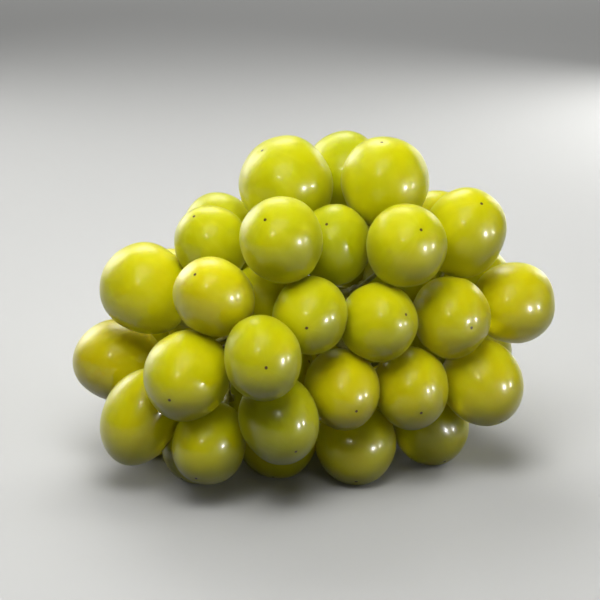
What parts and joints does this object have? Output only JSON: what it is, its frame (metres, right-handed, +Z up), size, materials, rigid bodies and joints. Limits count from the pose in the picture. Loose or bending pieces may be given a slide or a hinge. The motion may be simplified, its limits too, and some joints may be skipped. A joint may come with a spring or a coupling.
{
  "type": "bunch of grapes",
  "caption": "Compact bunch of large pale green table grapes lying on its side, oval berries on a branching stem, with the tip end to the front and the cut stalk behind.",
  "frame": {"origin": "middle of the bunch's box, on the surface that it rests on", "axes": "+Z up, +X across the bunch, the tip end faces -Y and the cut stalk points to +Y"},
  "size_m": [0.1742, 0.1588, 0.1233],
  "materials": {
    "berry_skin": "yellow-green translucent skin, waxy semi-gloss with a faint bloom",
    "stem_bark": "matt green-brown stem, woody at the cut end"
  },
  "bodies": {
    "root": {"crown_berry_1": "berry_skin", "crown_berry_2": "berry_skin", "crown_berry_3": "berry_skin", "crown_berry_4": "berry_skin", "crown_berry_5": "berry_skin", "crown_berry_6": "berry_skin", "crown_berry_7": "berry_skin", "upper_left_berry_1": "berry_skin", "upper_left_berry_2": "berry_skin", "upper_left_berry_3": "berry_skin", "upper_left_berry_4": "berry_skin", "upper_left_berry_5": "berry_skin", "upper_right_berry_1": "berry_skin", "upper_right_berry_2": "berry_skin", "upper_right_berry_3": "berry_skin", "upper_right_berry_4": "berry_skin", "upper_right_berry_5": "berry_skin", "upper_right_berry_6": "berry_skin", "left_shoulder_berry_1": "berry_skin", "left_shoulder_berry_2": "berry_skin", "left_shoulder_berry_3": "berry_skin", "left_shoulder_berry_4": "berry_skin", "left_shoulder_berry_5": "berry_skin", "left_shoulder_berry_6": "berry_skin", "right_shoulder_berry_1": "berry_skin", "right_shoulder_berry_2": "berry_skin", "right_shoulder_berry_3": "berry_skin", "right_shoulder_berry_4": "berry_skin", "right_shoulder_berry_5": "berry_skin", "front_berry_1": "berry_skin", "front_berry_2": "berry_skin", "front_berry_3": "berry_skin", "front_berry_4": "berry_skin", "front_berry_5": "berry_skin", "lower_left_berry_1": "berry_skin", "lower_left_berry_2": "berry_skin", "lower_left_berry_3": "berry_skin", "lower_left_berry_4": "berry_skin", "lower_left_berry_5": "berry_skin", "lower_left_berry_6": "berry_skin", "lower_left_berry_7": "berry_skin", "lower_right_berry_1": "berry_skin", "lower_right_berry_2": "berry_skin", "lower_right_berry_3": "berry_skin", "lower_right_berry_4": "berry_skin", "lower_right_berry_5": "berry_skin", "lower_right_berry_6": "berry_skin", "back_left_berry_1": "berry_skin", "back_left_berry_2": "berry_skin", "back_left_berry_3": "berry_skin", "back_left_berry_4": "berry_skin", "back_left_berry_5": "berry_skin", "back_left_berry_6": "berry_skin", "back_right_berry_1": "berry_skin", "back_right_berry_2": "berry_skin", "back_right_berry_3": "berry_skin", "back_right_berry_4": "berry_skin", "back_right_berry_5": "berry_skin", "back_right_berry_6": "berry_skin", "stem": "stem_bark"}
  },
  "joints": []
}
